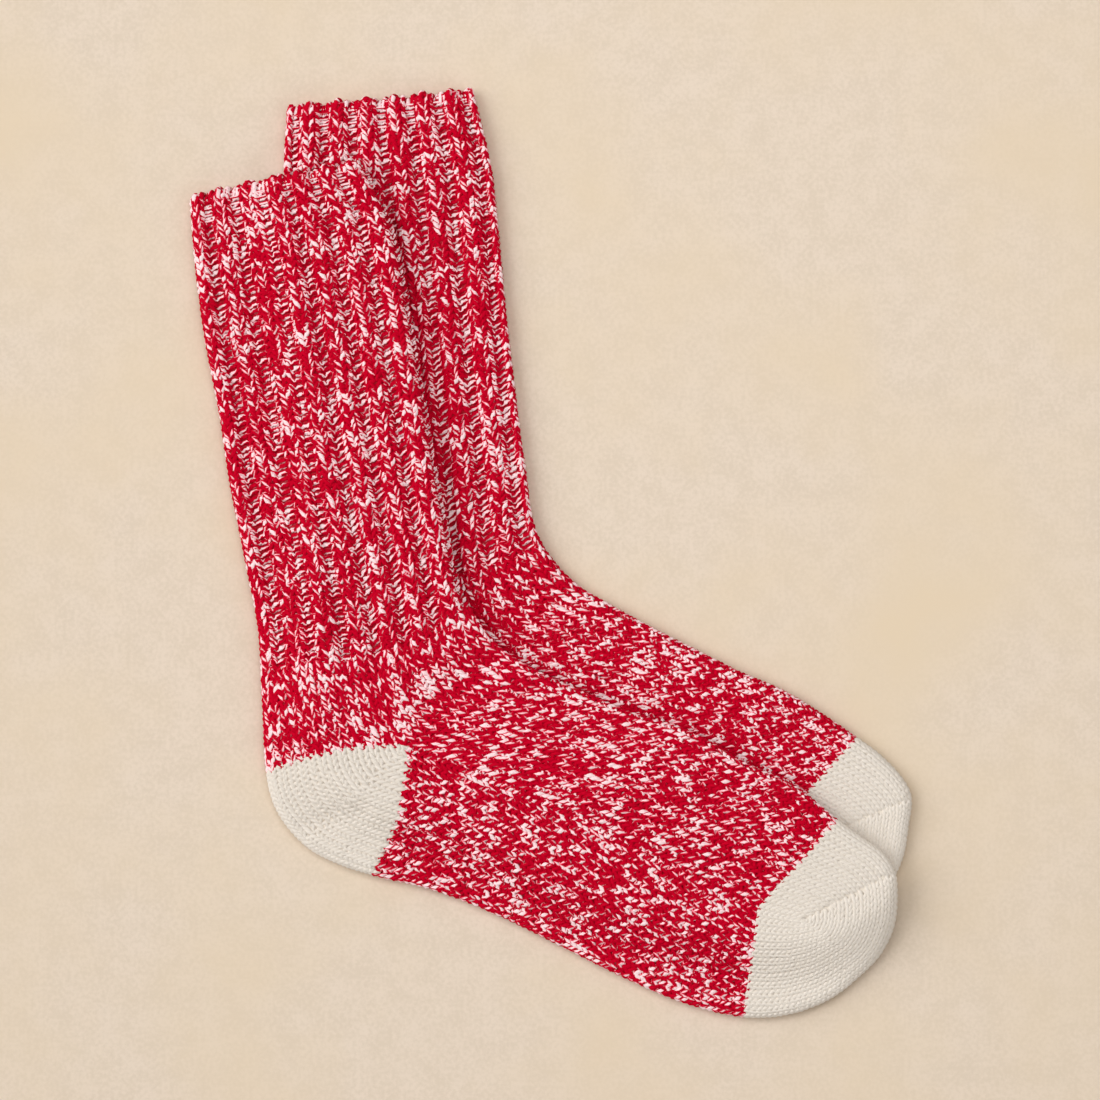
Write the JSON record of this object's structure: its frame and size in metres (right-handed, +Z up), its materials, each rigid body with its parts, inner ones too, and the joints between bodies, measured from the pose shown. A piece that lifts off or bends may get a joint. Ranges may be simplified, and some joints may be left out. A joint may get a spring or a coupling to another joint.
{
  "type": "pair of boot socks",
  "caption": "Pair of knitted boot socks laid flat, the front sock partly on the back one, with ribbed legs, smooth feet and plain heels and toes.",
  "frame": {"origin": "middle of the pair's box, on the surface that the socks lie on", "axes": "+Z up out of the surface, +Y from the toes' side towards the cuffs, +X from the heels towards the toes"},
  "size_m": [0.2601, 0.3336, 0.0147],
  "materials": {
    "marl_knit": "matt red and white marled knit",
    "cream_knit": "matt cream plain knit"
  },
  "bodies": {
    "root": {"upper_leg": "marl_knit", "upper_heel": "cream_knit", "upper_foot": "marl_knit", "upper_toe": "cream_knit", "lower_leg": "marl_knit", "lower_heel": "cream_knit", "lower_foot": "marl_knit", "lower_toe": "cream_knit"}
  },
  "joints": []
}
